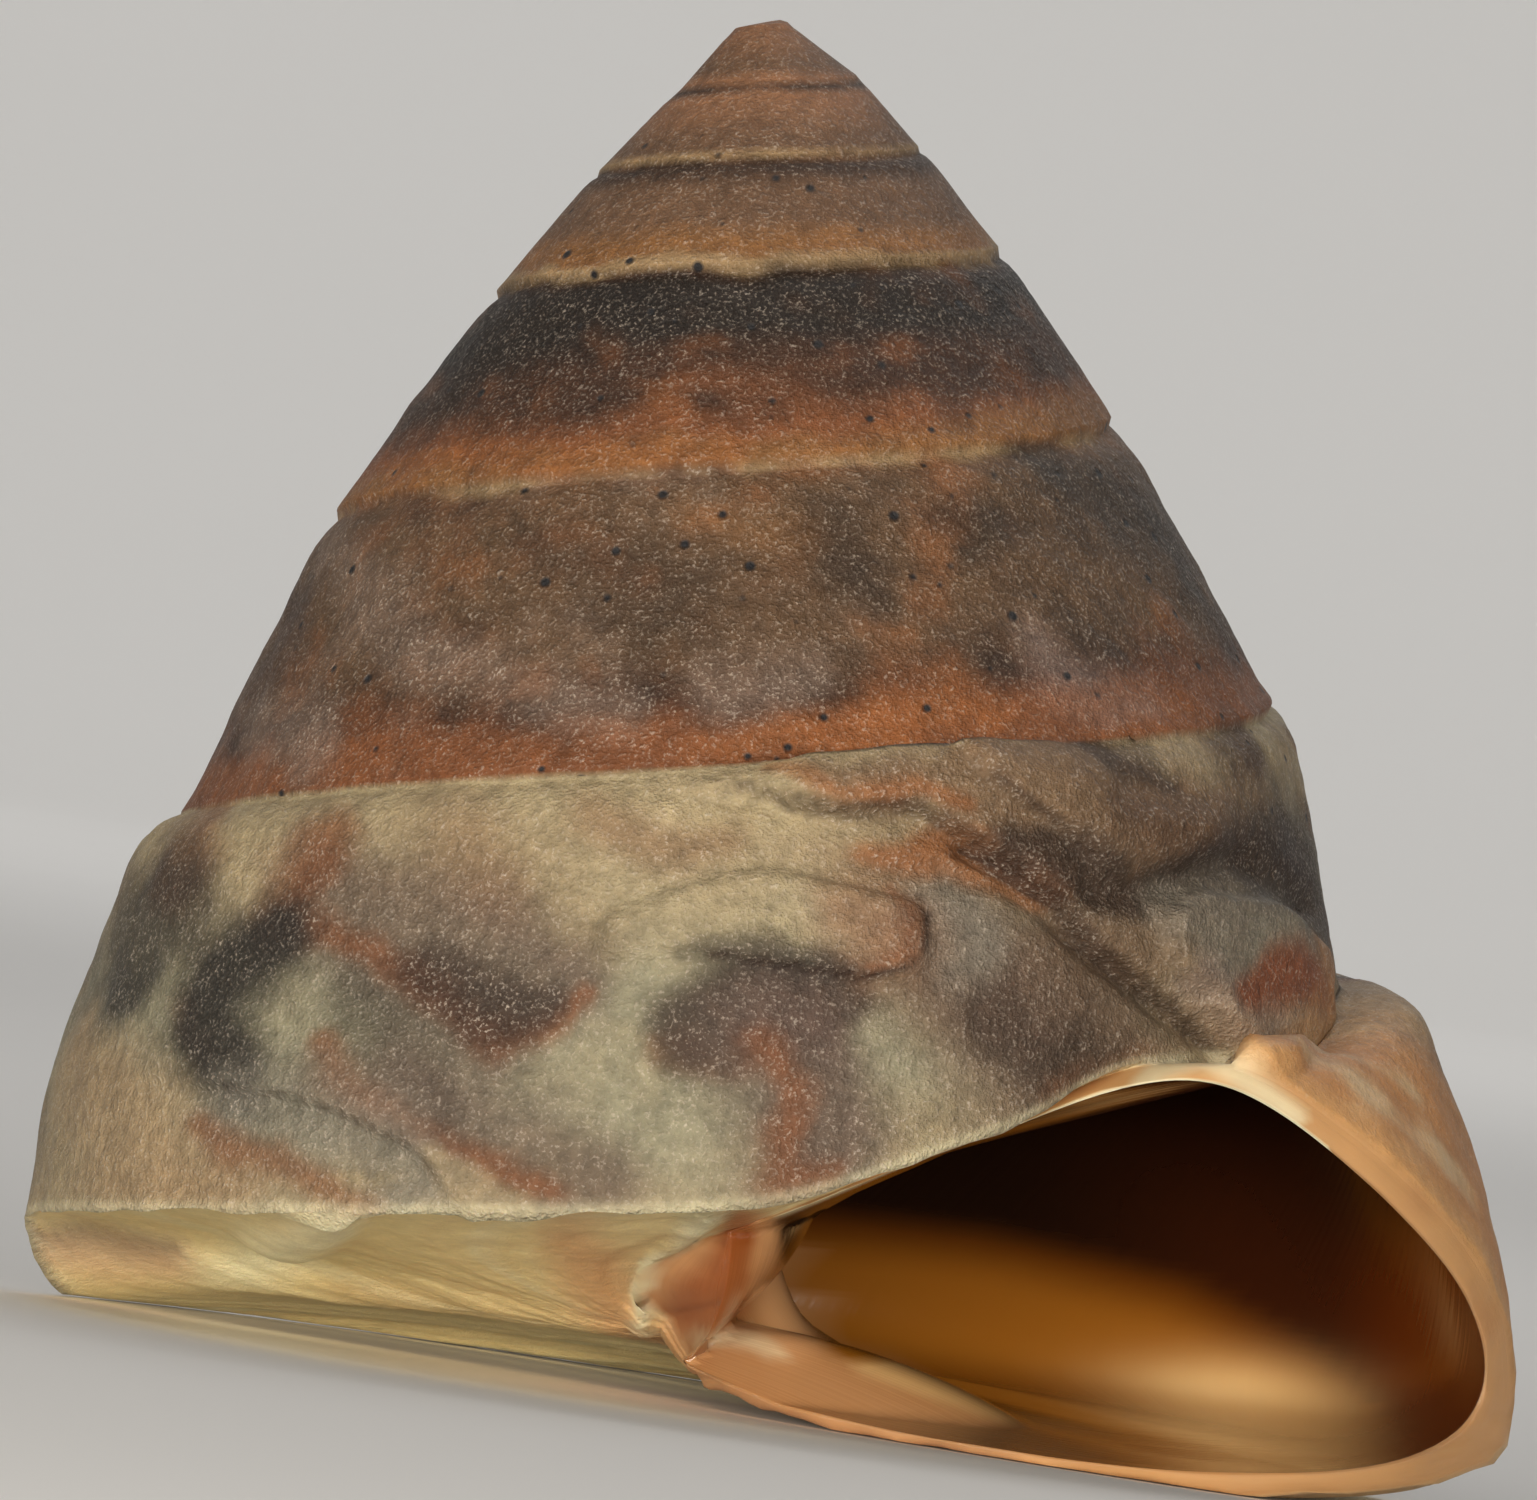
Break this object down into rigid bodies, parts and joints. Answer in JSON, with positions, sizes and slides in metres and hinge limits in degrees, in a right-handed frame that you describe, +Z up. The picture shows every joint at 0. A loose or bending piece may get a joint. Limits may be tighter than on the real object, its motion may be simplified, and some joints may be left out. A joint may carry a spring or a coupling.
{
  "type": "bembicium melanostoma",
  "caption": "Steep conical sea-snail shell with flat-sided whorls, a keeled rim and a wide slanting mouth, standing on its rim and lip",
  "frame": {"origin": "middle of the shell's box, at the height of the flat spots that it rests on", "axes": "+Z up, tip of the spire up and leaning about 6 degrees towards -X, mouth facing -Y, lip at +X"},
  "size_m": [0.0206, 0.0192, 0.019],
  "materials": {
    "shell": "matt brown and cream shell lime with a glossy dark mouth"
  },
  "bodies": {
    "root": {"shell": "shell"}
  },
  "joints": []
}
